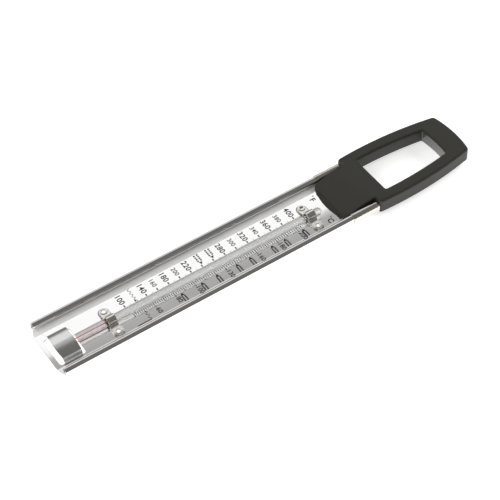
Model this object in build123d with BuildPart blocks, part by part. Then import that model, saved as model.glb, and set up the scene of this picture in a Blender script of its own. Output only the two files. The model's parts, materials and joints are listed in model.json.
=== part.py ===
"""Paddle thermometer for hot sugar, jam and frying: a liquid-in-glass tube on a rolled-edge steel plate.

Frame: millimetres. The thermometer lies on its back. +X runs from the bulb end to the handle, +Y is the
Fahrenheit side, +Z leaves the front of the plate. The origin is under the middle of the whole object, at
the height of its lowest point. "Station" means the distance along X from the bulb end of the plate.
"""
from build123d import *
import math
import os

os.makedirs("parts", exist_ok=True)

# ---------------------------------------------------------------- driving dimensions
overall_length = 305.0        # bulb end of the plate to the far end of the handle
sheet = 0.6                   # steel sheet of the plate
plate_z = 5.2                 # height of the plate's flat front face above the lowest point
plate_end = 234.5             # station where the plate stops inside the handle
rail_start = 2.4              # stations of the rolled side rails
rail_end = 227.7
rail_y = 20.3                 # centre of each rolled rail
rail_rise = 3.35              # rail centre above the plate's front face
rail_r = 2.4                  # outer radius of the roll
bend_r = 1.7                  # inner radius of the bend between plate and rail
curl_stop = 250               # the curl ends at this angle, measured from its outer side over the top
tab_y = 17.1                  # half width of the plate's plain end inside the handle
corner_station, corner_y = 0.5, 16.4
tip_y = 11.6                  # half width of the straight part of the bulb end

tube_y = -2.35                # the tube lies a little towards the Celsius side
tube_r = 2.6
tube_rise = 2.65              # tube axis above the plate's front face
tube_top = 196.8              # station of the tube's domed end
bore_r = 0.42
thread_r = 0.38
bulb_start, bulb_end = 7.4, 14.4
bulb_r, bulb_wall = 2.8, 0.45
neck_station, neck_r = 16.4, 2.0
column_rest = 43.0            # station of the top of the liquid at rest
column_tip_length = 1.0

guard_y = -1.95               # middle of the pressed bulb guard
guard_start, guard_end, guard_bow = 6.0, 18.4, 1.0
guard_foot, guard_fold = 11.2, 9.7
guard_shoulder, guard_crest = 4.2, 6.3
slot_start, slot_end = 3.6, 20.6

clip_stations = {"lower": 43.6, "upper": 188.3}
strap_width, strap_sheet = 5.6, 0.5
eyelet_offset = 8.9           # eyelet centre from the tube axis
pad_rise, pad_r, pad_inner = 0.8, 3.6, 6.5
eyelet_hole, eyelet_bore, eyelet_rim = 1.5, 1.05, 2.25

handle_start = 227.9          # station of the handle's shoulders
handle_rise = 8.5             # handle's front face above the plate's front face
handle_drop = 1.8             # handle's back face below the plate's front face
tongue_tip, tongue_brow, tongue_root = 202.2, 204.6, 226.0
tongue_y, tongue_brow_rise = 17.45, 3.3
shoulder_y, side_station, side_y, end_station, end_y = 23.2, 265.0, 23.4, 302.9, 18.3
window_start, window_end = 237.9, 288.6
window_near_y, window_mid_y, window_far_y = 15.4, 15.0, 12.2
edge_r = 1.6                  # rounding of the handle's front edges
screw_spots = {"left": (231.3, 11.0), "right": (231.3, -11.0), "end": (297.0, 0.0)}

clip_sheet = 0.45
clip_gap = 0.05               # running clearance of the pan clip on the rails
clip_start, clip_end = 208.0, 227.6
clip_back = 1.15              # back of the clip's panel below the plate's front face
tongue_width = 15.0
pinch_station, flare_station = 186.0, 180.0

half_length = overall_length / 2
tube_z = plate_z + tube_rise


def x_at(station):
    """X of a place given by its distance from the bulb end."""
    return station - half_length


def finish(part, name):
    """Label one piece and write it out."""
    part.label = name
    export_step(part, f"parts/{name}.step")
    print(f"{name:22s} volume {part.volume:9.1f} mm3")


# ---------------------------------------------------------------- scale plate
def rail_section():
    """The plate's +Y edge as a section across X: a bend, a low wall and a curl that rolls inwards over the plate."""
    gap = math.radians(curl_stop)
    reach = rail_r * 1.6
    wall_y = rail_y + rail_r - sheet
    bend_centre = (wall_y - bend_r, plate_z + bend_r)
    with BuildSketch(Plane.YZ.offset(x_at(rail_start)), mode=Mode.PRIVATE) as section:
        with Locations((rail_y, plate_z + rail_rise)):
            Circle(rail_r)
            Circle(rail_r - sheet, mode=Mode.SUBTRACT)
            Polygon(
                (0, 0),
                (reach * math.cos(gap), reach * math.sin(gap)),
                (reach, -reach),
                (reach, 0),
                align=None,
                mode=Mode.SUBTRACT,
            )
        with Locations((wall_y, plate_z + bend_r)):
            Rectangle(sheet, rail_rise - bend_r, align=(Align.MIN, Align.MIN))
        with BuildLine():
            inner_arc = CenterArc(bend_centre, bend_r, -90, 90)
            outer_arc = CenterArc(bend_centre, bend_r + sheet, -90, 90)
            Line(inner_arc @ 0, outer_arc @ 0)
            Line(inner_arc @ 1, outer_arc @ 1)
        make_face()
    return section.sketch


def guard_outline(grow):
    """The bulb guard's arch across Y, moved inwards by grow."""
    foot_y = guard_foot - grow
    fold_y = guard_fold - grow
    with BuildSketch(Plane.YZ.offset(x_at(guard_start - guard_bow)), mode=Mode.PRIVATE) as arch:
        with BuildLine():
            left = (guard_y - fold_y, plate_z + guard_shoulder - grow)
            right = (guard_y + fold_y, plate_z + guard_shoulder - grow)
            ThreePointArc(left, (guard_y, plate_z + guard_crest - grow), right)
            Polyline(right, (guard_y + foot_y, plate_z - sheet), (guard_y - foot_y, plate_z - sheet), left)
        make_face()
        folds = arch.vertices().group_by(Axis.Y)[-1]
        fillet(folds, radius=1.1 - grow)
    return arch.sketch


with BuildPart() as scale_plate:
    with BuildSketch(Plane.XY.offset(plate_z - sheet)):
        flat_y = rail_y + rail_r - sheet - bend_r
        Polygon(
            (x_at(plate_end), tab_y),
            (x_at(rail_end), tab_y),
            (x_at(rail_end), flat_y),
            (x_at(rail_start), flat_y),
            (x_at(corner_station), corner_y),
            (x_at(0), tip_y),
            (x_at(0), -tip_y),
            (x_at(corner_station), -corner_y),
            (x_at(rail_start), -flat_y),
            (x_at(rail_end), -flat_y),
            (x_at(rail_end), -tab_y),
            (x_at(plate_end), -tab_y),
            align=None,
        )
    extrude(amount=sheet)
    rail = extrude(rail_section(), amount=rail_end - rail_start)
    mirror(rail, about=Plane.XZ)
    # opening under the guard, then the guard itself
    with BuildSketch(Plane.XY.offset(plate_z - sheet)):
        with Locations((x_at((slot_start + slot_end) / 2), guard_y)):
            RectangleRounded(slot_end - slot_start, 2 * guard_foot - 1.2, 1.6)
    extrude(amount=sheet, mode=Mode.SUBTRACT)
    with BuildPart(mode=Mode.PRIVATE) as guard:
        extrude(guard_outline(0) - guard_outline(sheet), amount=guard_end - guard_start + guard_bow)
        with BuildSketch(Plane.XY):
            with BuildLine():
                near = (x_at(guard_start + 0.3), guard_y + guard_foot)
                far = (x_at(guard_start + 0.3), guard_y - guard_foot)
                ThreePointArc(near, (x_at(guard_start - guard_bow), guard_y), far)
                Polyline(far, (x_at(guard_end), far[1]), (x_at(guard_end), near[1]), near)
            make_face()
        extrude(amount=20, mode=Mode.INTERSECT)
    add(guard.part)
    # raised pads under the ears of the tube clips, hollow from behind
    for station in clip_stations.values():
        for side in (1, -1):
            middle = tube_y + side * (pad_inner + eyelet_offset) / 2
            span = eyelet_offset - pad_inner
            with BuildSketch(Plane.XY.offset(plate_z)):
                with Locations((x_at(station), middle)):
                    SlotCenterToCenter(span, 2 * pad_r, rotation=90)
            extrude(amount=pad_rise, taper=25)
            with BuildSketch(Plane.XY.offset(plate_z - sheet)):
                with Locations((x_at(station), middle)):
                    SlotCenterToCenter(span, 2 * (pad_r - sheet), rotation=90)
            extrude(amount=pad_rise, taper=20, mode=Mode.SUBTRACT)
            with BuildSketch(Plane.XY.offset(plate_z - 1)):
                with Locations((x_at(station), tube_y + side * eyelet_offset)):
                    Circle(eyelet_hole)
            extrude(amount=pad_rise + 2, mode=Mode.SUBTRACT)
    # clearance holes for the two screws that pass through the plate
    with BuildSketch(Plane.XY.offset(plate_z - sheet)):
        with Locations(*[(x_at(s), y) for s, y in screw_spots.values() if s < plate_end]):
            Circle(1.6)
    extrude(amount=sheet, mode=Mode.SUBTRACT)
finish(scale_plate.part, "scale_plate")


# ---------------------------------------------------------------- glass tube and what is in it
tube_frame = Plane(origin=(0, tube_y, tube_z), x_dir=(1, 0, 0), z_dir=(0, -1, 0))
tube_axis = Axis((0, tube_y, tube_z), (1, 0, 0))


def bulb_profile(shrink, neck_half, far_station):
    """Half profile of the bulb and its neck, shrunk by a wall, then a straight run to far_station."""
    radius = bulb_r - shrink
    nose = x_at(bulb_start + shrink)
    with BuildSketch(tube_frame, mode=Mode.PRIVATE) as profile:
        with BuildLine():
            ThreePointArc(
                (nose, 0),
                (nose + radius * (1 - math.sqrt(0.5)), radius * math.sqrt(0.5)),
                (nose + radius, radius),
            )
            Polyline(
                (nose + radius, radius),
                (x_at(bulb_end), radius),
                (x_at(neck_station), neck_half),
                (x_at(far_station), neck_half),
                (x_at(far_station), 0),
                (nose, 0),
            )
        make_face()
    return profile.sketch


with BuildPart() as glass_tube:
    revolve(bulb_profile(0, neck_r, neck_station + 1), axis=tube_axis)
    with BuildSketch(tube_frame):
        with BuildLine():
            dome = x_at(tube_top)
            Polyline(
                (dome - tube_r, 0),
                (x_at(neck_station + 1), 0),
                (x_at(neck_station + 1), neck_r),
                (x_at(neck_station + 3), tube_r),
                (dome - tube_r, tube_r),
            )
            ThreePointArc(
                (dome - tube_r, tube_r),
                (dome - tube_r * (1 - math.sqrt(0.5)), tube_r * math.sqrt(0.5)),
                (dome, 0),
            )
            Line((dome, 0), (dome - tube_r, 0))
        make_face()
    revolve(axis=tube_axis)
    revolve(bulb_profile(bulb_wall, bore_r, tube_top - 4), axis=tube_axis, mode=Mode.SUBTRACT)
finish(glass_tube.part, "glass_tube")

wet = bore_r - thread_r
with BuildPart() as bulb_liquid:
    revolve(bulb_profile(bulb_wall + wet, thread_r, neck_station + 0.5), axis=tube_axis)
finish(bulb_liquid.part, "bulb_liquid")

with BuildPart() as liquid_thread:
    with BuildSketch(Plane.YZ.offset(x_at(neck_station + 0.5))):
        with Locations((tube_y, tube_z)):
            Circle(thread_r)
    extrude(amount=column_rest - column_tip_length - neck_station - 0.5)
finish(liquid_thread.part, "liquid_thread")

with BuildPart() as column_tip:
    with BuildSketch(Plane.YZ.offset(x_at(column_rest - column_tip_length))):
        with Locations((tube_y, tube_z)):
            Circle(thread_r)
    extrude(amount=column_tip_length)
    fillet(column_tip.edges().group_by(Axis.X)[-1], radius=0.3)
finish(column_tip.part, "column_tip")


# ---------------------------------------------------------------- tube clips and their eyelets
for place, station in clip_stations.items():
    ear_z = plate_z + pad_rise
    inner_r = tube_r + 0.1
    outer_r = inner_r + strap_sheet
    ear_end = eyelet_offset + strap_width / 2
    with BuildPart() as tube_clip:
        with BuildSketch(Plane.YZ.offset(x_at(station) - strap_width / 2)):
            with Locations((tube_y, ear_z)):
                Rectangle(2 * ear_end, strap_sheet, align=(Align.CENTER, Align.MIN))
            with Locations((tube_y, tube_z)):
                Circle(outer_r)
            with Locations((tube_y, ear_z)):
                Rectangle(2 * outer_r, tube_z - ear_z, align=(Align.CENTER, Align.MIN))
                Rectangle(2 * inner_r, tube_z - ear_z, align=(Align.CENTER, Align.MIN), mode=Mode.SUBTRACT)
                Rectangle(4 * outer_r, 4, align=(Align.CENTER, Align.MAX), mode=Mode.SUBTRACT)
            with Locations((tube_y, tube_z)):
                Circle(inner_r, mode=Mode.SUBTRACT)
        extrude(amount=strap_width)
        with BuildSketch(Plane.XY.offset(plate_z)):
            with Locations((x_at(station), tube_y)):
                SlotOverall(2 * ear_end, strap_width, rotation=90)
        extrude(amount=10, mode=Mode.INTERSECT)
        with BuildSketch(Plane.XY.offset(plate_z)):
            with Locations((x_at(station), tube_y + eyelet_offset), (x_at(station), tube_y - eyelet_offset)):
                Circle(eyelet_hole)
        extrude(amount=10, mode=Mode.SUBTRACT)
        knees = tube_clip.edges().filter_by(Axis.X).group_by(Axis.Z)[1]
        fillet([e for e in knees if abs(e.center().Y - tube_y) < outer_r + 0.3], radius=0.6)
    finish(tube_clip.part, f"{place}_tube_clip")

    for side_name, side in (("left", 1), ("right", -1)):
        seat = ear_z + strap_sheet
        under = ear_z - sheet
        centre = (x_at(station), tube_y + side * eyelet_offset, 0)
        eyelet_frame = Plane(origin=centre, x_dir=(1, 0, 0), z_dir=(0, -1, 0))
        eyelet_axis = Axis(centre, (0, 0, 1))
        with BuildPart() as eyelet:
            with BuildSketch(eyelet_frame) as ring:
                barrel = eyelet_hole - 0.05
                with Locations(((eyelet_bore + barrel) / 2, under - 0.35)):
                    Rectangle(barrel - eyelet_bore, seat - under + 0.7, align=(Align.CENTER, Align.MIN))
                with Locations((eyelet_bore, seat)):
                    Rectangle(eyelet_rim - eyelet_bore, 0.45, align=(Align.MIN, Align.MIN))
                with Locations((eyelet_bore, under - 0.4)):
                    Rectangle(eyelet_rim - eyelet_bore - 0.1, 0.4, align=(Align.MIN, Align.MIN))
                crown = ring.vertices().group_by(Axis.Y)[-1]
                fillet(crown, radius=0.22)
            revolve(axis=eyelet_axis)
        finish(eyelet.part, f"{place}_{side_name}_eyelet")


# ---------------------------------------------------------------- handle
def handle_outline():
    """Plan of the handle without its front tongue: straight shoulders, bowed sides, bowed end."""
    with BuildSketch(mode=Mode.PRIVATE) as plan:
        with BuildLine():
            side = ThreePointArc(
                (x_at(handle_start), shoulder_y),
                (x_at(side_station), side_y),
                (x_at(end_station), end_y),
            )
            mirror(side, about=Plane.XZ)
            ThreePointArc(side @ 1, (x_at(overall_length), 0), ((side @ 1).X, -(side @ 1).Y))
            Line(side @ 0, ((side @ 0).X, -(side @ 0).Y))
        make_face()
        fillet(plan.vertices().group_by(Axis.X)[-1], radius=2.8)
        fillet(plan.vertices().group_by(Axis.X)[0], radius=1.8)
    return plan.sketch


def window_outline():
    """Plan of the hanging window: a straight edge, two bowed sides and a slightly bowed end."""
    with BuildSketch(mode=Mode.PRIVATE) as plan:
        with BuildLine():
            side = ThreePointArc(
                (x_at(window_start), window_near_y),
                (x_at(262.0), window_mid_y),
                (x_at(window_end), window_far_y),
            )
            mirror(side, about=Plane.XZ)
            ThreePointArc(side @ 1, (x_at(window_end + 0.9), 0), ((side @ 1).X, -(side @ 1).Y))
            Line(side @ 0, ((side @ 0).X, -(side @ 0).Y))
        make_face()
        fillet(plan.vertices(), radius=1.0)
    return plan.sketch


def on_level(sketch, z):
    """A plan lifted to a height."""
    return Plane.XY.offset(z) * sketch


def tongue_plan():
    """Plan of the front tongue: bowed tip and round corners between the rails."""
    with BuildSketch(mode=Mode.PRIVATE) as plan:
        with BuildLine():
            tip = ThreePointArc(
                (x_at(tongue_brow - 0.2), 13.6),
                (x_at(tongue_tip), 0),
                (x_at(tongue_brow - 0.2), -13.6),
            )
            Polyline(
                tip @ 1,
                (x_at(tongue_brow + 0.9), -tongue_y),
                (x_at(tongue_root + 8), -tongue_y),
                (x_at(tongue_root + 8), tongue_y),
                (x_at(tongue_brow + 0.9), tongue_y),
                tip @ 0,
            )
        make_face()
        fillet(plan.vertices().group_by(Axis.X)[0], radius=2.2)
    return plan.sketch


parting_z = plate_z           # the two halves of the handle meet level with the plate's front face
front_z = plate_z + handle_rise
back_z = plate_z - handle_drop

with BuildPart() as handle_front:
    extrude(on_level(handle_outline() - window_outline(), parting_z), amount=front_z - parting_z)
    fillet(handle_front.edges().group_by(Axis.Z)[-1], radius=edge_r)
    with BuildPart(mode=Mode.PRIVATE) as tongue:
        with BuildSketch(Plane.XZ.offset(-30)):
            Polygon(
                (x_at(tongue_tip), plate_z),
                (x_at(tongue_brow), plate_z + tongue_brow_rise),
                (x_at(tongue_root), front_z),
                (x_at(tongue_root + 8), front_z),
                (x_at(tongue_root + 8), plate_z),
                align=None,
            )
        extrude(amount=60)
        extrude(on_level(tongue_plan(), 0), amount=20, mode=Mode.INTERSECT)
    add(tongue.part)
    # pilot holes for the screws
    with BuildSketch(Plane.XY.offset(parting_z)):
        with Locations(*[(x_at(s), y) for s, y in screw_spots.values()]):
            Circle(1.15)
    extrude(amount=5.6, mode=Mode.SUBTRACT)
finish(handle_front.part, "handle_front")

with BuildPart() as handle_rear:
    extrude(on_level(handle_outline() - window_outline(), back_z), amount=parting_z - back_z)
    fillet(handle_rear.edges().group_by(Axis.Z)[0], radius=1.0)
    # pocket for the end of the plate
    with BuildSketch(Plane.XY.offset(plate_z - sheet)):
        with Locations((x_at(handle_start - 1), 0)):
            Rectangle(plate_end + 1.2 - handle_start, 2 * tab_y + 0.2, align=(Align.MIN, Align.CENTER))
    extrude(amount=sheet, mode=Mode.SUBTRACT)
    with Locations(*[Location((x_at(s), y, back_z), (180, 0, 0)) for s, y in screw_spots.values()]):
        CounterSinkHole(radius=1.35, counter_sink_radius=2.7, counter_sink_angle=90)
finish(handle_rear.part, "handle_rear")

for screw_name, (station, y) in screw_spots.items():
    screw_frame = Plane(origin=(x_at(station), y, 0), x_dir=(1, 0, 0), z_dir=(0, -1, 0))
    with BuildPart() as screw:
        with BuildSketch(screw_frame):
            Polygon(
                (0, back_z + 0.05),
                (2.35, back_z + 0.05),
                (2.35, back_z + 0.2),
                (1.1, back_z + 1.45),
                (1.1, parting_z + 4.2),
                (0, parting_z + 5.2),
                align=None,
            )
        revolve(axis=Axis((x_at(station), y, 0), (0, 0, 1)))
        with BuildSketch(Plane.XY.offset(back_z)):
            with Locations((x_at(station), y)):
                Rectangle(2.8, 0.6)
                Rectangle(0.6, 2.8)
        extrude(amount=0.9, mode=Mode.SUBTRACT)
    finish(screw.part, f"handle_screw_{screw_name}")


# ---------------------------------------------------------------- pan clip
def clip_ring(radius):
    """Closed outline of the clip's sides: a tall round-ended shape round each rail, joined by the panel."""
    low = plate_z - clip_back + rail_r + clip_gap + clip_sheet
    with BuildSketch(Plane.YZ.offset(x_at(clip_start)), mode=Mode.PRIVATE) as ring:
        for side in (1, -1):
            with Locations((side * rail_y, plate_z + rail_rise), (side * rail_y, low)):
                Circle(radius)
            with Locations((side * rail_y, low)):
                Rectangle(2 * radius, plate_z + rail_rise - low, align=(Align.CENTER, Align.MIN))
        with Locations((0, low)):
            Rectangle(2 * rail_y, radius, align=(Align.CENTER, Align.MAX))
    return ring.sketch


with BuildPart() as pan_clip:
    slide_r = rail_r + clip_gap
    extrude(clip_ring(slide_r + clip_sheet) - clip_ring(slide_r), amount=clip_end - clip_start)
    # open the middle of the front, leaving curls that end inside the top of each rail
    with BuildSketch(Plane.YZ.offset(x_at(clip_start))):
        with Locations((0, plate_z - clip_back + clip_sheet)):
            Rectangle(2 * (rail_y - 1.9), 12, align=(Align.CENTER, Align.MIN))
    extrude(amount=clip_end - clip_start, mode=Mode.SUBTRACT)
    # hairpin and spring tongue behind the plate
    panel_mid = plate_z - clip_back + clip_sheet / 2
    hairpin_r = 1.2
    with BuildSketch(Plane.XZ.offset(tongue_width / 2)) as strip:
        with BuildLine() as route:
            hairpin_x = x_at(clip_end) - hairpin_r - clip_sheet
            start = Line((x_at(clip_start), panel_mid), (hairpin_x, panel_mid))
            turn = CenterArc((hairpin_x, panel_mid - hairpin_r), hairpin_r, -90, 180)
            belly = Spline(
                (hairpin_x, panel_mid - 2 * hairpin_r),
                (x_at(206.0), clip_sheet / 2),
                (x_at(pinch_station), plate_z - sheet - 0.45 - clip_sheet / 2),
                (x_at(flare_station), plate_z - sheet - 2.2),
                tangents=((-1, 0), (-1, 0), (-1, 0), (-0.9, -0.45)),
            )
        trace(line_width=clip_sheet)
    extrude(amount=-tongue_width)
finish(pan_clip.part, "pan_clip")
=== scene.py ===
"""Looks of the paddle thermometer: polished plate with printed scales, glass tube, clips and handle."""

import json
import math

import bmesh
import bpy
import numpy as np
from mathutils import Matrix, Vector

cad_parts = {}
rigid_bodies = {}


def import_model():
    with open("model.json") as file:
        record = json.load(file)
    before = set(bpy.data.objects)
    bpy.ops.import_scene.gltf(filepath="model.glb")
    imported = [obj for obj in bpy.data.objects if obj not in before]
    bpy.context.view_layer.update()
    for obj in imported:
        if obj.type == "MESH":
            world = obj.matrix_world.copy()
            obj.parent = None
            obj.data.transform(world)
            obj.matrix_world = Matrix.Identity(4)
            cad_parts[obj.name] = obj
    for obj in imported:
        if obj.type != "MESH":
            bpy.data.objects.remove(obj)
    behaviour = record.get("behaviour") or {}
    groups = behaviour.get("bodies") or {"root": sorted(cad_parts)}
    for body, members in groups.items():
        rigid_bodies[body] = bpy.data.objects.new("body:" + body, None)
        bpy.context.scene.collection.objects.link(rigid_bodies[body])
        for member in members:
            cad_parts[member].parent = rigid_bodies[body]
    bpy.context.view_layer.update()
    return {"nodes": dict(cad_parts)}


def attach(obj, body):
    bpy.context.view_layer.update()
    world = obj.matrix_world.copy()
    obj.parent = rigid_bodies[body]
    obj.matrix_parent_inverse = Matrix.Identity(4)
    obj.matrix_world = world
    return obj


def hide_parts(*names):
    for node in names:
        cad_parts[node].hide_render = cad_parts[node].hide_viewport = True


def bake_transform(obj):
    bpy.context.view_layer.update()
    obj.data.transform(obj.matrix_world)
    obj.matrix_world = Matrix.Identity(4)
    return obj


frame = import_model()

MM = 0.001
HALF = 152.5            # half the overall length
PLATE = 5.2             # height of the plate's front face
SHEET = 0.6
RAIL_Y, RAIL_RISE, RAIL_R = 20.3, 3.35, 2.4
RAIL_END = 227.7
COVE_Y, COVE_R = 20.4, 1.7
TUBE_Y, TUBE_RISE, TUBE_R = -2.35, 2.65, 2.6
CLIPS = {"lower": 43.6, "upper": 188.3}
EYELET = 8.9
GUARD_Y, GUARD_FOOT, GUARD_FOLD = -1.95, 11.2, 9.7
PAD_RISE, PAD_R, PAD_SPAN = 0.8, 3.6, 2.4


# ------------------------------------------------------------------ making meshes
def piece(name, patches, body, replaced, weld=0.004, sharp=40, closed=True):
    """One object from grids of points in millimetres. Each patch is (points, loop along u, loop along v)."""
    corners, faces, start = [], [], 0
    for points, loop_u, loop_v in patches:
        nu, nv = points.shape[:2]
        index = np.arange(nu * nv).reshape(nu, nv)
        if loop_u:
            index = np.vstack([index, index[:1]])
        if loop_v:
            index = np.hstack([index, index[:, :1]])
        quads = np.stack([index[:-1, :-1], index[1:, :-1], index[1:, 1:], index[:-1, 1:]], axis=-1)
        corners.append(points.reshape(-1, 3))
        faces.append(quads.reshape(-1, 4) + start)
        start += nu * nv
    corners = np.concatenate(corners) * MM
    faces = np.concatenate(faces)
    mesh = bpy.data.meshes.new(name)
    mesh.from_pydata(corners.tolist(), [], faces.tolist())
    work = bmesh.new()
    work.from_mesh(mesh)
    bmesh.ops.remove_doubles(work, verts=work.verts, dist=weld * MM)
    bmesh.ops.dissolve_degenerate(work, edges=work.edges, dist=weld * MM * 0.2)
    if closed:
        bmesh.ops.recalc_face_normals(work, faces=work.faces)
    work.to_mesh(mesh)
    work.free()
    mesh.shade_smooth()
    mesh.set_sharp_from_angle(angle=math.radians(sharp))
    made = bpy.data.objects.new(name, mesh)
    bpy.context.scene.collection.objects.link(made)
    if body:
        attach(made, body)
    if replaced:
        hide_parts(*replaced)
    return made


def soften(corners, radii, steps=6, closed=False):
    """A polyline whose corners are replaced by arcs: each arc leaves both sides at r * tan(turn / 2)."""
    corners = np.asarray(corners, float)
    count = len(corners)
    radii = np.broadcast_to(np.asarray(radii, float), (count,))
    out = []
    for i in range(count):
        here, r = corners[i], radii[i]
        if (not closed and i in (0, count - 1)) or r <= 0:
            out.append(here[None])
            continue
        a = corners[i - 1] - here
        b = corners[(i + 1) % count] - here
        a, b = a / np.linalg.norm(a), b / np.linalg.norm(b)
        half = math.acos(max(-1.0, min(1.0, float(a @ b)))) / 2
        cut = r / math.tan(half)
        middle = here + (a + b) / np.linalg.norm(a + b) * r / math.sin(half)
        first = here + a * cut - middle
        last = here + b * cut - middle
        turn = math.pi - 2 * half
        t = np.linspace(0, 1, steps + 1)[:, None]
        arc = middle + (np.sin((1 - t) * turn) * first + np.sin(t * turn) * last) / math.sin(turn)
        out.append(arc)
    return np.concatenate(out)


def support(line, gap=0.12):
    """A polyline with a point added just inside both ends of every long side, which keeps the flats flat."""
    line = np.asarray(line, float)
    out = [line[:1]]
    for a, b in zip(line[:-1], line[1:]):
        length = np.linalg.norm(b - a)
        if length > 4 * gap:
            out.append(np.stack([a + (b - a) * gap / length, b + (a - b) * gap / length]))
        out.append(b[None])
    return np.concatenate(out)


def swept(x, line):
    """A section in Y and Z, carried straight along X: point (x, y(v), z(v))."""
    x = np.asarray(x, float)
    line = np.asarray(line, float)
    grid = np.empty((len(x), len(line), 3))
    grid[..., 0] = x[:, None]
    grid[..., 1:] = line[None]
    return grid


def bridge(a, b):
    """Two lines of points joined by one row of faces."""
    return np.stack([a, b])


def ray_radius(loop, angles):
    """Distance from the origin to a star-shaped loop along each angle, by interpolation in polar form."""
    loop = np.asarray(loop, float)
    polar = np.arctan2(loop[:, 1], loop[:, 0])
    order = np.argsort(polar)
    return np.interp(angles, polar[order], np.hypot(*loop.T)[order], period=2 * np.pi)


def dense(loop, step=0.05):
    """A closed polygon with points every step along its sides."""
    loop = np.asarray(loop, float)
    out = []
    for a, b in zip(loop, np.roll(loop, -1, axis=0)):
        n = max(1, int(np.linalg.norm(b - a) / step))
        out.append(a + (b - a) * (np.arange(n) / n)[:, None])
    return np.concatenate(out)


def revolved(stations, radii, y, z, count=64):
    """A profile turned about a line along X: (s, y + r cos a, z + r sin a)."""
    a = np.linspace(0, 2 * np.pi, count, endpoint=False)
    s, r = np.asarray(stations, float), np.asarray(radii, float)
    grid = np.empty((len(s), count, 3))
    grid[..., 0] = s[:, None] - HALF
    grid[..., 1] = y + r[:, None] * np.cos(a)
    grid[..., 2] = z + r[:, None] * np.sin(a)
    return grid


def smooth(t):
    """The smooth step 3 t^2 - 2 t^3, held at 0 and 1 outside."""
    t = np.clip(t, 0, 1)
    return t * t * (3 - 2 * t)


# ------------------------------------------------------------------ scale plate
def pad_height(x, y, radius):
    """Raised pads: a smooth step of the distance to each round-ended slot, summed over the four pads."""
    total = np.zeros_like(x)
    for station in CLIPS.values():
        for side in (1, -1):
            across = (y - TUBE_Y) * side - (EYELET - PAD_SPAN)
            outside = across - np.clip(across, 0, PAD_SPAN)
            distance = np.hypot(x + HALF - station, outside)
            total += PAD_RISE * smooth((radius - distance) / 0.75)
    return total


def plate_sides(x, y, back):
    """Points on the plate's front, or on its back, at the given places."""
    if back:
        z = PLATE - SHEET + pad_height(x, y, PAD_R - 0.35)
    else:
        z = PLATE + pad_height(x, y, PAD_R + 0.1)
    return np.stack([x, y, z], axis=-1)


def ring_patch(centre, loops, angles):
    """Rings round a centre: point = centre + radius(angle) * (cos, sin), one ring per loop."""
    radii = np.array([r if isinstance(r, np.ndarray) else np.full(len(angles), float(r)) for r in loops])
    return centre[0] + radii * np.cos(angles), centre[1] + radii * np.sin(angles)


patches = []
flat_y = np.linspace(-COVE_Y, COVE_Y, 15)
for first, last in ((26.0, 36.6), (50.6, 181.3), (195.3, RAIL_END)):
    gx, gy = np.meshgrid(np.linspace(first, last, 12) - HALF, flat_y, indexing="ij")
    patches.append((plate_sides(gx, gy, False), False, False))
    patches.append((plate_sides(gx, gy, True)[::-1], False, False))
# the plain end inside the handle
gx, gy = np.meshgrid(np.array([RAIL_END, 234.5]) - HALF, np.array([-17.1, 17.1]), indexing="ij")
tab_front, tab_back = plate_sides(gx, gy, False), plate_sides(gx, gy, True)
patches += [(tab_front, False, False), (tab_back[::-1], False, False),
            (bridge(tab_front[-1], tab_back[-1]), False, False),
            (bridge(tab_back[:, -1], tab_front[:, -1]), False, False),
            (bridge(tab_front[:, 0], tab_back[:, 0]), False, False)]

for station in CLIPS.values():
    for side in (1, -1):
        centre = np.array([station - HALF, TUBE_Y + side * EYELET])
        low, high = sorted((TUBE_Y, side * COVE_Y))
        block = np.array([(-7, low), (7, low), (7, high), (-7, high)]) - (0, centre[1])
        block = dense(block)
        angles = np.unique(np.concatenate([
            np.linspace(-np.pi, np.pi, 120, endpoint=False),
            np.arctan2([low - centre[1], low - centre[1], high - centre[1], high - centre[1]], [-7, 7, 7, -7]),
        ]))
        loops = [1.5, 1.8]
        a = np.linspace(0, 2 * np.pi, 400, endpoint=False)
        for radius in np.concatenate([[2.45], np.linspace(2.75, 3.75, 11), [4.0]]):
            pad = np.stack([radius * np.cos(a), radius * np.sin(a)], axis=1)
            pad[:, 1] -= side * np.where(pad[:, 1] * side < 0, PAD_SPAN, 0)
            ends = np.array([(radius, 0), (-radius, 0), (radius, -side * PAD_SPAN), (-radius, -side * PAD_SPAN)])
            sides = dense(ends[[0, 2]], 0.1)[:30], dense(ends[[1, 3]], 0.1)[:30]
            loops.append(ray_radius(np.concatenate([pad, *sides]), angles))
        loops.append(ray_radius(block, angles))
        gx, gy = ring_patch(centre, loops, angles)
        front = plate_sides(gx, gy, False)
        rear = plate_sides(gx, gy, True)
        patches += [(front, False, True), (rear[::-1], False, True), (bridge(rear[0], front[0]), False, True)]

# bulb end: rings from the opening under the guard out to the end of the plate
slot_middle = np.array([(3.6 + 20.6) / 2 - HALF, GUARD_Y])
slot = soften([(8.5, 10.6), (-8.5, 10.6), (-8.5, -10.6), (8.5, -10.6)], 1.6, 8, closed=True)
end = np.array([(26.0, COVE_Y), (2.4, COVE_Y), (0.5, 16.4), (0, 11.6), (0, -11.6), (0.5, -16.4), (2.4, -COVE_Y),
                (26.0, -COVE_Y)]) - slot_middle - (HALF, 0)
angles = np.linspace(-np.pi, np.pi, 240, endpoint=False)
angles = np.unique(np.concatenate([angles, np.arctan2(end[:, 1], end[:, 0])]))
inner = ray_radius(dense(slot), angles)
outer = ray_radius(dense(end), angles)
at_end = outer * np.cos(angles) < 2.4 - slot_middle[0] - HALF - 0.01
bend = [(0, 0.6), (0, 0.3), (0.04, 0.16), (0.13, 0.05), (0.28, 0), (0.45, 0)]
rows = []
for inset, drop in bend:
    rows.append((inner + inset, np.full(len(angles), drop)))
for inset, drop in bend[::-1]:
    rows.append((outer - np.where(at_end, inset, 0), np.where(at_end, drop, 0)))
rows.append((outer, np.full(len(angles), SHEET)))
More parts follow.
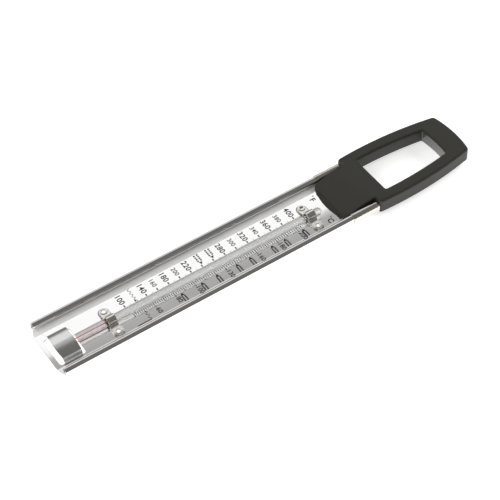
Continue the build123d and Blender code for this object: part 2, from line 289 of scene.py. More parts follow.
gx, gy = ring_patch(slot_middle, [r for r, _ in rows], angles)
around = np.stack([gx, gy, PLATE - np.array([d for _, d in rows])], axis=-1)
patches.append((around[:-1], False, True))
patches.append((bridge(around[-1], around[0]), False, True))
patches.append((around[-2:][:, np.flatnonzero(at_end)], False, False))

# rolled rails: a bend, a low wall and a curl that rolls inwards over the plate
turn = np.radians(np.linspace(0, 250, 46))
roll = np.stack([RAIL_Y + RAIL_R * np.cos(turn), RAIL_RISE + RAIL_R * np.sin(turn)], axis=1)
inside = RAIL_R - SHEET
hollow = np.stack([RAIL_Y + inside * np.cos(turn), RAIL_RISE + inside * np.sin(turn)], axis=1)
lift = np.radians(np.linspace(-90, 0, 11))
cove = np.stack([COVE_Y + COVE_R * np.cos(lift), COVE_R + COVE_R * np.sin(lift)], axis=1)
elbow = np.stack([COVE_Y + (COVE_R + SHEET) * np.cos(lift), COVE_R + (COVE_R + SHEET) * np.sin(lift)], axis=1)
facing_in = np.concatenate([cove, hollow])
facing_out = np.concatenate([elbow, roll])
rail_x = np.concatenate([[2.4, 2.5, 2.8], np.linspace(4, 226, 40), [227.6, RAIL_END]]) - HALF
for side in (1, -1):
    shift = np.array([(0, PLATE)])
    inner_skin = swept(rail_x, facing_in * (side, 1) + shift)
    outer_skin = swept(rail_x, facing_out * (side, 1) + shift)
    skins = [inner_skin, outer_skin[::-1], bridge(outer_skin[0], inner_skin[0]),
             bridge(inner_skin[-1], outer_skin[-1]), bridge(outer_skin[:, -1], inner_skin[:, -1])[::-1]]
    patches += [(skin if side > 0 else skin[::-1], False, False) for skin in skins]
plate = piece("scale_plate_sheet", patches, "thermometer", [], closed=False)


# pressed bulb guard: an arch whose bulb-side edge bows outwards
def arch(crest, shoulder, fold, foot, base, fold_r):
    """Section of the guard: foot, wall, fold, circular crown, fold, wall, foot."""
    rise = crest - shoulder
    radius = (fold * fold + rise * rise) / (2 * rise)
    crown_y = np.linspace(-fold, fold, 41)
    crown = np.stack([crown_y, crest - radius + np.sqrt(radius ** 2 - crown_y ** 2)], axis=1)
    left = soften(np.array([(-foot - 1.0, base), (-foot, base), crown[0], crown[4]]), [0, 0.5, fold_r, 0], 6)
    section = np.concatenate([left, crown[5:-5], (left * (-1, 1))[::-1]])
    return section + (GUARD_Y, PLATE)


top_line = arch(6.3, 4.2, GUARD_FOLD, GUARD_FOOT, -0.03, 0.9)
under_line = arch(5.7, 3.72, GUARD_FOLD - 0.45, GUARD_FOOT - 0.4, -0.6, 0.4)
near_edge = 5.0 + 1.3 * np.clip((top_line[:, 0] - GUARD_Y) / GUARD_FOOT, -1, 1) ** 2
near_under = 5.0 + 1.3 * np.clip((under_line[:, 0] - GUARD_Y) / GUARD_FOOT, -1, 1) ** 2
span = np.concatenate([[0, 0.008], np.linspace(0.03, 0.97, 24), [0.992, 1]])[:, None]


def guard_face(line, start):
    """The guard's section carried from its bowed bulb-side edge to its straight far edge."""
    grid = np.empty((len(span), len(line), 3))
    grid[..., 0] = start + (18.4 - start) * span - HALF
    grid[..., 1:] = line[None]
    return grid


over = guard_face(top_line, near_edge)
below = guard_face(under_line, near_under)
guard_patches = [
    (over, False, False), (below[::-1], False, False),
    (bridge(below[0], over[0]), False, False), (bridge(over[-1], below[-1]), False, False),
]
guard = piece("bulb_guard_arch", guard_patches, "thermometer", ["scale_plate"], closed=False)


# ------------------------------------------------------------------ glass tube and its liquid
t = np.linspace(0, np.pi / 2, 13)
nose_s = np.concatenate([7.4 + 2.8 * (1 - np.cos(t)), [12, 14.0, 14.4]])
nose_r = np.concatenate([2.8 * np.sin(t), [2.8, 2.8, 2.75]])
neck_s = np.array([14.9, 15.7, 16.4, 17.0, 17.6, 18.4, 19.4, 19.8])
neck_r = np.array([2.6, 2.2, 2.0, 2.0, 2.08, 2.4, 2.58, 2.6])
body_s = np.concatenate([np.linspace(21, 193, 30), 194.2 + 2.6 * np.sin(t)])
body_r = np.concatenate([np.full(30, 2.6), 2.6 * np.cos(t)])
shell = revolved(np.concatenate([nose_s, neck_s, body_s]), np.concatenate([nose_r, neck_r, body_r]),
                 TUBE_Y, PLATE + TUBE_RISE)
bore = revolved([42.6, 42.6, 43, 80, 120, 160, 192.4, 192.8], [0, 0.3, 0.3, 0.3, 0.3, 0.3, 0.3, 0],
                TUBE_Y, PLATE + TUBE_RISE, 24)
tube = piece("glass_tube_shell", [(shell, False, True)], "thermometer", ["glass_tube"])
capillary = piece("glass_tube_bore", [(bore[:, ::-1], False, True)], "thermometer", [])
capillary.data.flip_normals()
thread_s = np.concatenate([[17.1, 17.1], np.linspace(17.5, 41.5, 14), [42.05, 42.05]])
thread_r = np.concatenate([[0, 0.25], np.full(14, 0.25), [0.25, 0]])
thread_form = revolved(thread_s, thread_r, TUBE_Y, PLATE + TUBE_RISE, 24)
thread = piece("liquid_thread_line", [(thread_form, False, True)], None, ["liquid_thread"])
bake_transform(thread)
tip_s = np.concatenate([[42.0, 42.0], 42.75 + 0.25 * np.sin(t)])
tip_r = np.concatenate([[0, 0.25], 0.25 * np.cos(t)])
tip_form = revolved(tip_s, tip_r, TUBE_Y, PLATE + TUBE_RISE, 24)
column_tip = piece("liquid_column_tip", [(tip_form, False, True)], "liquid_column", ["column_tip"])


# ------------------------------------------------------------------ tube clips and eyelets
def strap(station):
    """A strap over the tube: arch, knees and round-ended ears, with a hole in each ear for the eyelet."""
    seat = PLATE + PAD_RISE
    lift_z = PLATE + TUBE_RISE
    arcs = np.linspace(0, np.pi, 33)
    grids = []
    lines = {}
    for name, r, base, knee in (("outer", 3.2, seat + 0.5, 0.55), ("inner", 2.72, seat, 0.95)):
        side = soften([(5.2, base), (r, base), (r, lift_z - 0.01)], [0, knee, 0], 6)
        over = np.stack([r * np.cos(arcs), lift_z + r * np.sin(arcs)], axis=1)
        lines[name] = np.concatenate([support(side[:2], 0.05), side[2:], over[1:-1], (side * (-1, 1))[::-1]])
    width = np.array([-2.8, -2.75, -2.6, 2.6, 2.75, 2.8])
    drop = np.array([0.12, 0.04, 0, 0, 0.04, 0.12])
    for name, line in lines.items():
        outward = 1 if name == "outer" else -1
        normal = np.gradient(line, axis=0)
        normal = np.stack([normal[:, 1], -normal[:, 0]], axis=1)
        normal /= np.linalg.norm(normal, axis=1)[:, None] + 1e-9
        grid = np.empty((len(width), len(line), 3))
        grid[..., 0] = station - HALF + width[:, None]
        moved = line[None] + drop[:, None, None] * normal[None] * outward
        grid[..., 1] = TUBE_Y + moved[..., 0]
        grid[..., 2] = moved[..., 1]
        grids.append((grid, False, False))
    over, under = grids[0][0], grids[1][0]
    for row in (0, -1):
        grids.append((bridge(over[row], under[row]), False, False))
    # ears
    for side in (1, -1):
        centre = (station - HALF, TUBE_Y + side * EYELET)
        inner_y = -side * (EYELET - 5.2)
        half_turn = np.linspace(0, np.pi, 60)
        ear = np.stack([2.8 * np.cos(half_turn), side * 2.8 * np.sin(half_turn)], axis=1)
        ear = np.concatenate([ear, [(-2.8, inner_y), (2.8, inner_y)]])
        angles = np.unique(np.concatenate([
            np.linspace(-np.pi, np.pi, 96, endpoint=False), np.arctan2([inner_y, inner_y], [2.8, -2.8])]))
        rim = ray_radius(dense(ear), angles)
        level = ((rim, 0.0), (rim, 0.36), (rim - 0.03, 0.44), (rim - 0.1, 0.49), (rim - 0.16, 0.5),
                 (rim - 0.24, 0.5), (1.6, 0.5), (1.5, 0.5), (1.5, 0.0))
        gx, gy = ring_patch(centre, [r for r, _ in level], angles)
        z = seat + np.array([h for _, h in level])[:, None] + np.zeros_like(gx)
        grids.append((np.stack([gx, gy, z], axis=-1), True, True))
    return grids


def eyelet(station, side):
    """A rolled eyelet: a small ring section turned about an upright axis."""
    seat = PLATE + PAD_RISE + 0.5
    under = PLATE + PAD_RISE - SHEET
    crown = soften([(1.05, under - 0.4), (1.05, seat + 0.45), (2.25, seat + 0.45), (2.25, seat), (1.45, seat),
                    (1.45, under), (2.1, under), (2.1, under - 0.4)],
                   [0.1, 0.4, 0.3, 0.05, 0, 0, 0.1, 0.15], 6, closed=True)
    a = np.linspace(0, 2 * np.pi, 64, endpoint=False)
    grid = np.empty((64, len(crown), 3))
    grid[..., 0] = station - HALF + np.cos(a)[:, None] * crown[:, 0]
    grid[..., 1] = TUBE_Y + side * EYELET + np.sin(a)[:, None] * crown[:, 0]
    grid[..., 2] = crown[:, 1]
    return [(grid, True, True)]


for place, station in CLIPS.items():
    piece(f"{place}_clip_strap", strap(station), "thermometer", [f"{place}_tube_clip"])
    for hand, side in (("left", 1), ("right", -1)):
        piece(f"{place}_{hand}_eyelet_ring", eyelet(station, side), "thermometer", [f"{place}_{hand}_eyelet"])


# ------------------------------------------------------------------ handle
FRONT, PARTING = PLATE + 8.5, PLATE


def resample(line, places):
    """Points on a polyline at the given shares of its length."""
    line = np.asarray(line, float)
    run = np.concatenate([[0], np.cumsum(np.linalg.norm(np.diff(line, axis=0), axis=1))])
    return np.stack([np.interp(places * run[-1], run, line[:, k]) for k in (0, 1)], axis=1)


def arc_through(first, middle, last, count):
    """Points on the circle through three places: its centre c has |first - c| = |middle - c| = |last - c|."""
    p, q, r = complex(*first), complex(*middle), complex(*last)
    w = (r - p) / (q - p)
    centre = p - (p - q) * (w - abs(w) ** 2) / (2j * w.imag)
    start, stop = np.angle(p - centre), np.angle(r - centre)
    around = centre + abs(p - centre) * np.exp(1j * np.linspace(start, stop, count))
    return np.stack([around.real, around.imag], axis=1)


SIDE = arc_through((227.9, 23.2), (265.0, 23.4), (302.9, 18.3), 60)
FAR = arc_through((302.9, 18.3), (305.0, 0.0), (302.9, -18.3), 47)[:24]
window_side = arc_through((237.9, 15.4), (262.0, 15.0), (288.6, 12.2), 40)
window_far = arc_through((288.6, 12.2), (289.5, 0.0), (288.6, -12.2), 23)[:12]


def rounded_half(parts, radii, steps=6):
    """Half an outline on the +Y side, from the X axis round to the X axis, with its corners rounded."""
    line = np.concatenate(parts)
    keep = np.concatenate([[True], np.linalg.norm(np.diff(line, axis=0), axis=1) > 1e-6])
    line = line[keep]
    radius = np.zeros(len(line))
    for place, r in radii:
        radius[np.argmin(np.linalg.norm(line - place, axis=1))] = r
    return trim_rounding(line, radius, steps)


def trim_rounding(line, radius, steps):
    """Rounds the chosen corners of a fine polyline, after removing the points that the arcs replace."""
    keep = np.ones(len(line), bool)
    for i in np.flatnonzero(radius > 0):
        reach = radius[i] * 1.6
        close = np.linalg.norm(line - line[i], axis=1) < reach
        close[i] = False
        close[[0, -1]] = False
        keep &= ~close
    return soften(line[keep], radius[keep], steps)


window_half = rounded_half(
    [np.array([(237.9, 0), (237.9, 7)]), window_side, window_far[1:]],
    [((237.9, 15.4), 1.0), ((288.6, 12.2), 1.0)])
tongue_y = np.linspace(0, 13.6, 24)
TIP = np.stack([202.2 + 2.2 * (tongue_y / 13.6) ** 2, tongue_y], axis=1)
front_half = rounded_half(
    [TIP, np.array([(205.6, 17.45), (216, 17.45), (227.9, 17.45)]), SIDE, FAR[1:]],
    [((205.6, 17.45), 2.0), ((227.9, 17.45), 0.5), ((227.9, 23.2), 1.8), ((302.9, 18.3), 2.8)])
brow_half = rounded_half(
    [np.stack([np.full(24, 204.8), tongue_y], axis=1),
     np.array([(206.4, 17.45), (216, 17.45), (227.9, 17.45)]), SIDE, FAR[1:]],
    [((206.4, 17.45), 2.0), ((227.9, 17.45), 0.5), ((227.9, 23.2), 1.8), ((302.9, 18.3), 2.8)])


def matched(outer, inner, outer_marks, inner_marks, counts):
    """Two half outlines cut at matching marks and given the same number of points between marks."""
    pieces_out, pieces_in = [], []

    def cut(line, marks):
        ids = [0] + [int(np.argmin(np.linalg.norm(line - m, axis=1))) for m in marks] + [len(line) - 1]
        return [line[a:b + 1] for a, b in zip(ids[:-1], ids[1:])]

    for o, i, n in zip(cut(outer, outer_marks), cut(inner, inner_marks), counts):
        share = np.linspace(0, 1, n, endpoint=False)
        pieces_out.append(resample(o, share))
        pieces_in.append(resample(i, share))
    pieces_out.append(outer[-1:])
    pieces_in.append(inner[-1:])
    return np.concatenate(pieces_out), np.concatenate(pieces_in)


def whole(half):
    """A half outline and its mirror image as one closed loop."""
    mirrored = half[1:-1][::-1] * (1, -1)
    return np.concatenate([half, mirrored])


def inward(loop, middle, towards):
    """Unit normals of a closed loop, all on the side of its middle or all on the other side."""
    run = np.roll(loop, -1, axis=0) - np.roll(loop, 1, axis=0)
    normal = np.stack([-run[:, 1], run[:, 0]], axis=1)
    normal /= np.linalg.norm(normal, axis=1)[:, None] + 1e-9
    side = np.sign(np.sum(normal * (np.array(middle) - loop), axis=1).mean())
    return normal * side * (1 if towards else -1)


def top_height(s, y):
    """Front face: flat on the ring, sloping down the tongue from station 226 to 204.6."""
    slope = (FRONT - PLATE - 3.3) / (226.0 - 204.6)
    fall = np.maximum(0, 226.0 - s)
    eased = np.where(fall < 3, fall * fall / 6, fall - 1.5)
    return FRONT - slope * eased * np.where(s < 226, 1, 0) * (21.4 / 19.9)


marks_front = [(205.6, 17.45), (227.9, 17.45), (227.9, 23.2), (277.0, 22.6), (302.9, 18.3)]
marks_window = [(237.9, 11.0), (237.9, 15.4), (244.0, 15.4), (277.0, 13.7), (288.6, 12.2)]
counts = [34, 26, 12, 40, 26, 22]
outer_half, inner_half = matched(front_half, window_half, marks_front, marks_window, counts)
brow_marks = [(206.4, 17.45)] + marks_front[1:]
brow_out, _ = matched(brow_half, window_half, brow_marks, marks_window, counts)
base_loop, brow_loop, window_loop = whole(outer_half), whole(brow_out), whole(inner_half)
in_outer = inward(brow_loop, (262.0, 0), True)
in_window = inward(window_loop, (263.0, 0), False)


def handle_rings(outer_base, outer_top, out_n, inner, in_n, low_outer, low_inner, top, edge, hole_edge):
    """Rings of the handle's section: up the outer wall, round the edge, over the face, down the window."""
    rows = []

    def add(plan, z):
        rows.append(np.column_stack([plan[:, 0] - HALF, plan[:, 1], z]))

    rim = outer_top + out_n * edge[:, None]
    hole = inner + in_n * hole_edge
    top_out = top(outer_top[:, 0], outer_top[:, 1])
    add(outer_base, low_outer)
    add(outer_base + (outer_top - outer_base) * 0.02, low_outer + (top_out - edge - low_outer) * 0.02)
    add(outer_base + (outer_top - outer_base) * 0.9, low_outer + (top_out - edge - low_outer) * 0.93)
    for a in np.radians(np.linspace(0, 90, 7)):
        plan = outer_top + out_n * edge[:, None] * (1 - math.cos(a))
        add(plan, top_out - edge * (1 - math.sin(a)))
    for share in (0.012, 0.1, 0.25, 0.4, 0.55, 0.7, 0.85, 0.97, 0.99):
        plan = rim + (hole - rim) * share
        add(plan, top(plan[:, 0], plan[:, 1]))
    top_in = top(inner[:, 0], inner[:, 1])
    for a in np.radians(np.linspace(90, 0, 7)):
        plan = inner + in_n * hole_edge * (1 - math.cos(a))
        add(plan, top_in - hole_edge * (1 - math.sin(a)))
    add(inner, low_inner + 0.15)
    add(inner, low_inner)
    return np.stack(rows)


# the edge is crisp along the tongue and rounder on the ring
away = np.maximum(np.abs(brow_loop[:, 1]) - 17.5, brow_loop[:, 0] - 228.0) / 2
edge_r = 0.6 + smooth(away)
low_outer = np.full(len(base_loop), PARTING + 0.01)
low_inner = np.full(len(window_loop), PARTING + 0.01)
front_rings = handle_rings(base_loop, brow_loop, in_outer, window_loop, in_window, low_outer, low_inner,
                           top_height, edge_r, 1.6)
front = piece("handle_front_shell", [(front_rings, True, True)], "thermometer", ["handle_front"],
              sharp=50)


# ------------------------------------------------------------------ pan clip
def offset_line(line, distance):
    """A line in a plane moved sideways by a distance along its own normals."""
    run = np.gradient(line, axis=0)
    normal = np.stack([-run[:, 1], run[:, 0]], axis=1)
    normal /= np.linalg.norm(normal, axis=1)[:, None] + 1e-12
    return line + normal * distance


def strip(line, thick):
    """A closed loop round a sheet whose middle is the line, with rounded ends."""
    a = offset_line(line, thick / 2)
    b = offset_line(line, -thick / 2)
    first = line[0] + (line[0] - line[1]) / np.linalg.norm(line[0] - line[1]) * thick * 0.3
    last = line[-1] + (line[-1] - line[-2]) / np.linalg.norm(line[-1] - line[-2]) * thick * 0.3
    return np.concatenate([a, last[None], b[::-1], first[None]])


clip_mid = RAIL_R + 0.05 + 0.225
low_z = -1.15 + 0.45 + RAIL_R + 0.05
quarter = np.radians(np.linspace(137, 0, 26))
curl = np.stack([RAIL_Y + clip_mid * np.cos(quarter), RAIL_RISE + clip_mid * np.sin(quarter)], axis=1)
corner = np.radians(np.linspace(0, -90, 16))
lower = np.stack([RAIL_Y + clip_mid * np.cos(corner), low_z + clip_mid * np.sin(corner)], axis=1)
half_line = np.concatenate([curl, lower, [(RAIL_Y - 0.3, low_z - clip_mid), (9.0, low_z - clip_mid),
                                          (7.75, low_z - clip_mid)]])
body_patches = []
for side in (1, -1):
    loop = strip(half_line * (side, 1) + (0, PLATE), 0.45)
    x = np.array([208.0, 208.03, 208.12, 210, 218, 226, 227.5, 227.57, 227.6]) - HALF
    grid = swept(x, loop)
    grid[[0, -1]] = swept(x[[0, -1]], strip(half_line * (side, 1) + (0, PLATE), 0.25))
    grid[[1, -2]] = swept(x[[1, -2]], strip(half_line * (side, 1) + (0, PLATE), 0.38))
    body_patches.append((grid, False, True))
    for x_end in (208.0, 227.6):
        middle = half_line * (side, 1) + (0, PLATE)
        rims = [swept([x_end - HALF], offset_line(middle, away))[0] for away in (0.125, -0.125)]
        body_patches.append((bridge(*rims), False, False))

panel_z = low_z - clip_mid
hair = np.radians(np.linspace(90, -90, 15))
turn_line = np.stack([225.95 + 1.2 * np.cos(hair), panel_z - 1.2 + 1.2 * np.sin(hair)], axis=1)


def hermite(a, b, slope_a, slope_b, count):
    """A cubic between two points with given slopes dz/ds at its ends."""
    s = np.linspace(0, 1, count)
    run = b[0] - a[0]
    h = (2 * s ** 3 - 3 * s ** 2 + 1, s ** 3 - 2 * s ** 2 + s, -2 * s ** 3 + 3 * s ** 2, s ** 3 - s ** 2)
    z = h[0] * a[1] + h[1] * run * slope_a + h[2] * b[1] + h[3] * run * slope_b
    return np.stack([a[0] + run * s, z], axis=1)


belly = (206.0, 0.225 - PLATE)
pinch = (186.0, -SHEET - 0.45 - 0.225)
flare = (180.0, -SHEET - 2.2)
tongue_line = np.concatenate([
    [(208.0, panel_z), (209.0, panel_z), (216.0, panel_z), (225.0, panel_z)],
    turn_line,
    hermite((225.95, panel_z - 2.4), belly, 0, 0, 20)[1:],
    hermite(belly, pinch, 0, 0, 20)[1:],
    hermite(pinch, flare, 0, 0.5, 12)[1:],
])
loop = strip(tongue_line + (-HALF, PLATE), 0.45)
y = np.array([-7.5, -7.46, -7.38, -4, 0, 4, 7.38, 7.46, 7.5])
ribbon = np.empty((len(y), len(loop), 3))
ribbon[..., 1] = y[:, None]
ribbon[..., 0] = loop[:, 0]
ribbon[..., 2] = loop[:, 1]
body_patches.append((ribbon, False, True))
for y_end in (-7.5, 7.5):
    a = offset_line(tongue_line + (-HALF, PLATE), 0.225)
    b = offset_line(tongue_line + (-HALF, PLATE), -0.225)
    sides = [np.column_stack([k[:, 0], np.full(len(k), y_end), k[:, 1]]) for k in (a, b)]
    body_patches.append((bridge(*sides), False, False))
clip = piece("pan_clip_spring", body_patches, "pan_clip", ["pan_clip"], closed=True)


# ------------------------------------------------------------------ printing on the plate
INK = PLATE + 0.02
ink_points, ink_faces = [], []


def at(x_fit, y_fit):
    """Printing is laid out on its own rule: station and height of a place on the printed layout."""
    return 1.0103 * x_fit + 2.38 - HALF, 1.0103 * y_fit


def add_ink(points, faces):
    """Adds flat faces at the printed layer's height."""
    start = sum(len(p) for p in ink_points)
    points = np.asarray(points, float)
    ink_points.append(np.column_stack([points[:, 0], points[:, 1], np.full(len(points), INK)]))
    ink_faces.extend([tuple(int(i) + start for i in f) for f in faces])


def bar(x_fit, y_fit, along_x, along_y):
    """A printed rectangle about a centre."""
    x, y = at(x_fit, y_fit)
    corner = np.array([(-1, -1), (1, -1), (1, 1), (-1, 1)]) * (along_x / 2, along_y / 2)
    add_ink(corner + (x, y), [(0, 1, 2, 3)])


def pointer(x_fit, y_tip, half, length):
    """A printed triangle whose tip is at y_tip; a negative length points it towards +Y."""
    x, y = at(x_fit, y_tip)
    corners = [(x, y), (x + half, y + length), (x - half, y + length)]
    add_ink(corners, [(0, 1, 2)] if length > 0 else [(0, 2, 1)])


def ribbon_line(points, width):
    """A printed line of even width along a path."""
    points = np.asarray(points, float)
    a, b = offset_line(points, width / 2), offset_line(points, -width / 2)
    n = len(points)
    add_ink(np.concatenate([b, a]), [(i, i + 1, n + i + 1, n + i) for i in range(n - 1)])


def words(text, x_fit, y_fit, height, heavy, stretch=1.0):
    """Figures read towards -Y with their tops towards +X, centred on a place."""
    letters = bpy.data.curves.new("figures", "FONT")
    letters.body = text
    letters.size = height / 0.7
    letters.offset = heavy
    letters.space_character = 1.08
    holder = bpy.data.objects.new("figures", letters)
    mesh = bpy.data.meshes.new_from_object(holder)
    count = len(mesh.vertices)
    co = np.empty(count * 3)
    mesh.vertices.foreach_get("co", co)
    co = co.reshape(-1, 3)[:, :2]
    middle = (co.min(0) + co.max(0)) / 2
    co = (co - middle) * (stretch, 1)
    x, y = at(x_fit, y_fit)
    turned = np.stack([x + co[:, 1], y - co[:, 0]], axis=1)
    add_ink(turned, [tuple(p.vertices) for p in mesh.polygons])
    bpy.data.objects.remove(holder)
    bpy.data.curves.remove(letters)
    bpy.data.meshes.remove(mesh)


def fahrenheit(degrees):
    """Place of a temperature along the tube: nearly even, opening slightly with heat."""
    t = (degrees - 100) / 20
    return 53.41 + 7.55 * t + 0.04 * t * t


large = (100, 140, 180, 220, 280, 320, 360, 400)
for degrees in range(100, 401, 20):
    place = fahrenheit(degrees)
    bar(place, 4.0, 0.85, 1.7)
    if degrees < 400:
        bar(fahrenheit(degrees + 10), 3.3, 0.45, 0.45)
    if degrees in (240, 260):
        pointer(place + 0.9, 5.0, 1.25, 2.1)
        for line in (-0.95, 1.15):
            for k, run in enumerate((1.25, 1.45, 1.1, 1.4)):
                bar(place + 0.9 + line, 8.2 + k * 1.6, 1.15, run * 0.85)
    elif degrees != 120:
        size = 3.6 if degrees in large else 2.95
        words(str(degrees), place + 0.2, 9.4, size, 0.10 if degrees in large else 0.06)
for celsius in range(40, 205, 2):
    place = fahrenheit(celsius * 1.8 + 32)
    tenth = celsius % 10 == 0
    bar(place, -4.95 if not tenth else -5.3, 0.50 if tenth else 0.42, 2.1 if not tenth else 2.9)
for celsius in (60, 80, 100, 130, 160, 180, 200):
    place = fahrenheit(celsius * 1.8 + 32)
    bar(place, -7.5, 0.5, 0.9)
    words(str(celsius), place + 0.6, -10.65 if celsius < 100 else -11.6, 3.0, 0.09)
for place in (86.5, 100.8, 111.5, 125.9, 135.5, 151.6, 161.2, 175.0):
    pointer(place, -6.9, 1.5, -2.2)
    for line in (-0.85, 0.95):
        for k in range(4):
            bar(place + line, -9.9 - k * 1.15, 1.05, 0.95)
wave = np.linspace(2, 14.2, 50)
ribbon_line(np.stack(at(61.6 + 0.75 * np.sin(wave * 2.3), wave), axis=1), 0.34)
wave = np.linspace(-14, -6.6, 34)
ribbon_line(np.stack(at(61.6 + 0.75 * np.sin(wave * 2.3), wave), axis=1), 0.34)
bar(57.2, -13.7, 9.6, 0.75)
words("F", 194.6, 9.4, 3.6, 0.14)
words("C", 193.6, -11.4, 3.6, 0.14)
around = np.linspace(0, 2 * np.pi, 24)
for x_fit, y_fit in ((196.4, 11.9), (195.6, -8.9)):
    x, y = at(x_fit, y_fit)
    ribbon_line(np.stack([x + 0.5 * np.cos(around), y + 0.5 * np.sin(around)], axis=1), 0.28)

print_mesh = bpy.data.meshes.new("scale_printing")
print_mesh.from_pydata((np.concatenate(ink_points) * MM).tolist(), [], ink_faces)
printing = bpy.data.objects.new("scale_printing", print_mesh)
bpy.context.scene.collection.objects.link(printing)
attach(printing, "thermometer")


# ------------------------------------------------------------------ materials
class Wire:
    """A shader socket that can be used in sums; each operator adds one Math node."""

    def __init__(self, finish, socket):
        self.finish, self.socket = finish, socket

    def _math(self, operation, a, b):
        return self.finish.node("ShaderNodeMath", {"operation": operation}, {0: a, 1: b}).out(0)

    def out(self, key):
        return Wire(self.finish, self.socket.node.outputs[key])

    def __add__(self, other):
        return self._math("ADD", self, other)

    def __radd__(self, other):
        return self._math("ADD", other, self)

    def __sub__(self, other):
        return self._math("SUBTRACT", self, other)

    def __rsub__(self, other):
        return self._math("SUBTRACT", other, self)

    def __mul__(self, other):
        return self._math("MULTIPLY", self, other)


class Finish:
    """A material and the one method that adds nodes to it."""

    def __init__(self, name):
        self.material = bpy.data.materials.new(name)
        self.material.use_nodes = True
        self.tree = self.material.node_tree
        self.tree.nodes.clear()
        self.place = self.node("ShaderNodeTexCoord", {}, {}).out("Object")

    def node(self, kind, settings, inputs):
        """Adds a node: settings first, then the values or links of its sockets. Returns its first output."""
        made = self.tree.nodes.new(kind)
        for key, value in settings.items():
            setattr(made, key, value)
        for key, value in inputs.items():
            if isinstance(value, Wire):
                self.tree.links.new(value.socket, made.inputs[key])
            else:
                made.inputs[key].default_value = value
        return Wire(self, made.outputs[0]) if len(made.outputs) else None

    def noise(self, scale, detail=3.0, stretch=(1, 1, 1)):
        """Noise in metres, with the pattern stretched along an axis."""
        mapped = self.node("ShaderNodeMapping", {}, {"Vector": self.place, "Scale": stretch})
        return self.node("ShaderNodeTexNoise", {}, {"Vector": mapped, "Scale": scale, "Detail": detail})

    def mix(self, share, a, b):
        """A colour between two colours."""
        return self.node("ShaderNodeMix", {"data_type": "RGBA"}, {0: share, 6: a, 7: b}).out(2)

    def surface(self, **inputs):
        """The Principled shader with its sockets set by name."""
        sockets = {key.replace("_", " "): value for key, value in inputs.items()}
        shader = self.node("ShaderNodeBsdfPrincipled", {}, sockets)
        self.node("ShaderNodeOutputMaterial", {}, {"Surface": shader})
        return self.material

    def between(self, wire, low, high):
        """1 where the value lies between two limits, 0 elsewhere."""
        above = self.node("ShaderNodeMath", {"operation": "GREATER_THAN"}, {0: wire, 1: low})
        below = self.node("ShaderNodeMath", {"operation": "LESS_THAN"}, {0: wire, 1: high})
        return above * below

    def bump(self, height, distance, strength=1.0):
        return self.node("ShaderNodeBump", {}, {"Height": height, "Distance": distance, "Strength": strength})


def polished(name, tint, rough, waviness):
    """Bright rolled sheet: metal with a slight wave and a faint uneven polish."""
    f = Finish(name)
    grain = f.noise(900, 4, (0.08, 1, 1))
    slow = f.noise(60, 2)
    colour = f.mix(slow, (*[c * 0.96 for c in tint], 1), (*tint, 1))
    return f.surface(Base_Color=colour, Metallic=1.0, Roughness=rough + (grain - 0.5) * 0.06,
                     Normal=f.bump(slow, waviness))


# mirror-bright sheet; the flat strip beside each rolled rail is satin and the rails are softly polished
f = Finish("polished_plate")
grain = f.noise(900, 4, (0.08, 1, 1))
slow = f.noise(60, 2)
y_side, z_side = (f.node("ShaderNodeSeparateXYZ", {}, {0: f.place}).out(k) for k in (1, 2))
off_middle = f.node("ShaderNodeMath", {"operation": "ABSOLUTE"}, {0: y_side})
beside = f.node("ShaderNodeMapRange", {"interpolation_type": "SMOOTHSTEP"},
                {"Value": off_middle, "From Min": 0.0140, "From Max": 0.0149})
raised = f.between(z_side, (PLATE + 0.25) * MM, 0.03)
satin = beside * (1.0 - raised)
plate_finish = f.surface(
    Base_Color=f.mix(slow, (0.88, 0.88, 0.885, 1), (0.92, 0.92, 0.92, 1)),
    Metallic=1.0 - satin * 0.97,
    Roughness=0.045 + (grain - 0.5) * 0.04 + satin * 0.3 + raised * 0.07,
    Normal=f.bump(slow, 0.00001))
guard_finish = polished("pressed_guard", (0.92, 0.92, 0.93), 0.22, 0.00002)
bright_finish = polished("bright_strap", (0.95, 0.93, 0.89), 0.13, 0.00001)
spring_finish = polished("spring_sheet", (0.84, 0.81, 0.76), 0.24, 0.00001)
screw_finish = polished("zinc_screw", (0.62, 0.62, 0.63), 0.32, 0.00001)

f = Finish("clear_glass")
glass_finish = f.surface(Base_Color=(0.985, 0.995, 0.99, 1), Roughness=0.0, IOR=1.47,
                         Transmission_Weight=1.0, Alpha=0.42)
f = Finish("red_liquid")
red_finish = f.surface(Base_Color=f.mix(f.noise(400), (0.72, 0.10, 0.09, 1), (0.78, 0.13, 0.11, 1)),
                       Roughness=0.35)
f = Finish("plate_ink")
ink_finish = f.surface(Base_Color=f.mix(f.noise(2000), (0.012, 0.012, 0.013, 1), (0.022, 0.022, 0.023, 1)),
                       Roughness=0.55)
f = Finish("moulded_handle")
pores = f.noise(2600, 2)
cloud = f.noise(45, 3)
x_side, y_side, z_side = (f.node("ShaderNodeSeparateXYZ", {}, {0: f.place}).out(k) for k in range(3))
# the end wall inside the window is glossier than the rest
end_wall = f.between(x_side, 0.1352, 0.1378) * f.between(y_side, -0.0118, 0.0118)
end_wall = end_wall * f.between(z_side, 0.0, 0.0122)
handle_finish = f.surface(
    Coat_Weight=end_wall, Coat_Roughness=0.12, Coat_IOR=1.9,
    Base_Color=f.mix(cloud, (0.024, 0.024, 0.020, 1), (0.032, 0.031, 0.027, 1)),
    Roughness=0.50 + (cloud - 0.5) * 0.1,
    Normal=f.bump(pores, 0.00006, 0.6))


def dress(thing, material):
    """Gives a piece one material."""
    thing.data.materials.clear()
    thing.data.materials.append(material)


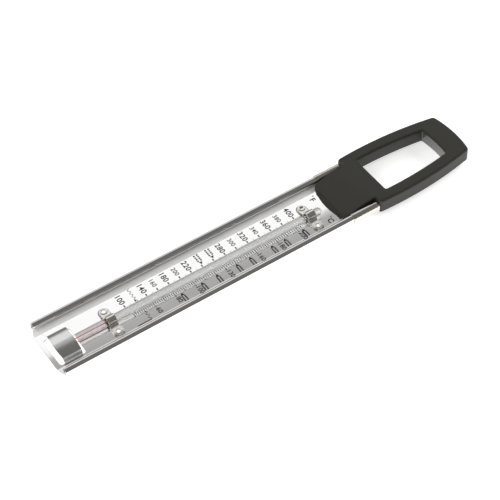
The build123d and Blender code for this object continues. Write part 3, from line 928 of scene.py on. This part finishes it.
dress(plate, plate_finish)
dress(guard, guard_finish)
dress(printing, ink_finish)
dress(tube, glass_finish)
dress(capillary, glass_finish)
dress(thread, red_finish)
dress(column_tip, red_finish)
dress(front, handle_finish)
dress(clip, spring_finish)
for thing in list(bpy.data.objects):
    if thing.type == "MESH" and ("_strap" in thing.name or "_ring" in thing.name):
        dress(thing, bright_finish)
by_node = {
    "scale_plate": plate_finish, "glass_tube": glass_finish, "bulb_liquid": red_finish,
    "liquid_thread": red_finish, "column_tip": red_finish, "handle_front": handle_finish,
    "handle_rear": handle_finish, "pan_clip": spring_finish,
}
for name, thing in frame["nodes"].items():
    material = by_node.get(name) or (screw_finish if "screw" in name else bright_finish)
    dress(thing, material)


# ------------------------------------------------------------------ floor, light and camera
f = Finish("studio_floor")
floor_finish = f.surface(Base_Color=(0.93, 0.93, 0.93, 1), Roughness=0.9, Emission_Color=(1, 1, 1, 1),
                         Emission_Strength=0.55)
floor_mesh = bpy.data.meshes.new("studio_floor")
reach = 6.0
floor_mesh.from_pydata([(-reach, -reach, -0.0002), (reach, -reach, -0.0002), (reach, reach, -0.0002),
                        (-reach, reach, -0.0002)], [], [(0, 1, 2, 3)])
floor = bpy.data.objects.new("studio_floor", floor_mesh)
bpy.context.scene.collection.objects.link(floor)
dress(floor, floor_finish)

world = bpy.data.worlds.new("studio")
world.use_nodes = True
world.node_tree.nodes["Background"].inputs["Color"].default_value = (1.0, 0.97, 0.92, 1)
world.node_tree.nodes["Background"].inputs["Strength"].default_value = 0.15
bpy.context.scene.world = world


def softbox(name, centre, target, size, power, mirrored=True):
    """A rectangular area light at a point, turned to face another point, its width kept level."""
    light = bpy.data.lights.new(name, "AREA")
    light.shape = "RECTANGLE"
    light.size, light.size_y = size
    light.energy = power
    made = bpy.data.objects.new(name, light)
    bpy.context.scene.collection.objects.link(made)
    made.location = centre
    made.rotation_euler = (Vector(target) - Vector(centre)).to_track_quat("-Z", "Y").to_euler()
    made.visible_glossy = mirrored
    return made


# the far softbox's upper edge is the line that the plate mirrors along the tube; the end lights fill only
softbox("far_softbox", (0.3, 1.39, 1.052), (0.3, -0.06, -0.498), (3.6, 1.0), 7.6)
softbox("upper_card", (0.3, 0.90, 1.56), (0.3, 0.1, 0.0), (3.6, 0.6), 1.8)
softbox("left_fill", (-2.4, 0.1, 1.3), (0.0, 0.0, 0.0), (3.2, 2.4), 66, mirrored=False)
softbox("right_fill", (2.4, -0.1, 1.3), (0.0, 0.0, 0.0), (3.2, 2.4), 66, mirrored=False)

view = bpy.data.cameras.new("camera")
view.lens = 105.25
view.sensor_width = 36
view.clip_start = 0.01
camera = bpy.data.objects.new("camera", view)
camera.location = (-0.3199, -0.5088, 0.6878)
camera.rotation_euler = (math.radians(40.984), math.radians(1.931), math.radians(-33.725))
bpy.context.scene.collection.objects.link(camera)
bpy.context.scene.camera = camera
bpy.context.scene.view_settings.view_transform = "Standard"
